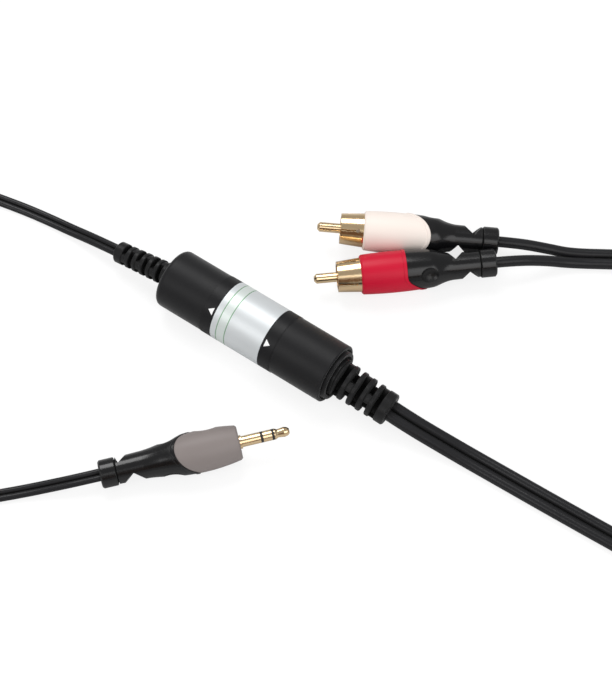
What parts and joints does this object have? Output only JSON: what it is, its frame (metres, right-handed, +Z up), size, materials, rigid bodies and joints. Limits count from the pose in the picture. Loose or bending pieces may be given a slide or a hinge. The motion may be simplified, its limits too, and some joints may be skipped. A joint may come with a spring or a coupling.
{
  "type": "ground loop isolator",
  "caption": "In-line audio isolator: a round housing with a moulded stereo plug on one lead and, on the other, a split to two phono plugs.",
  "frame": {"origin": "bottom centre of the housing, where its label touches the surface that the set lies on", "axes": "+X along the housing towards the phono end, +Z up"},
  "size_m": [0.3536, 0.2498, 0.0202],
  "materials": {
    "housing": "satin moulded",
    "label_foil": "satin foil",
    "board": "fibreglass board",
    "laminations": "dull",
    "bobbin": "nylon",
    "winding": "enamelled copper",
    "wire": "insulated wire",
    "relief": "satin",
    "white_handle": "satin moulded",
    "red_handle": "satin moulded",
    "grey_handle": "satin moulded",
    "boot": "satin",
    "gold_plate": "gold plated",
    "insulation": "moulded",
    "cord": "satin"
  },
  "bodies": {
    "root": {"circuit_board": "board", "end_cap": "housing", "housing_shell": "housing", "input_cord": "cord", "input_relief": "relief", "input_wires": "wire", "jack_boot": "boot", "jack_front_insulator": "insulation", "jack_grip": "grey_handle", "jack_rear_insulator": "insulation", "jack_ring_contact": "gold_plate", "jack_sleeve_contact": "gold_plate", "jack_tip_contact": "gold_plate", "label": "label_foil", "left_channel_bobbin": "bobbin", "left_channel_core": "laminations", "left_channel_winding": "winding", "output_cord": "cord", "output_relief": "relief", "output_wires": "wire", "red_boot": "boot", "red_collar": "gold_plate", "red_cord": "cord", "red_grip": "red_handle", "red_insulator": "insulation", "red_pin": "gold_plate", "right_channel_bobbin": "bobbin", "right_channel_core": "laminations", "right_channel_winding": "winding", "white_boot": "boot", "white_collar": "gold_plate", "white_cord": "cord", "white_grip": "white_handle", "white_insulator": "insulation", "white_pin": "gold_plate"}
  },
  "joints": []
}
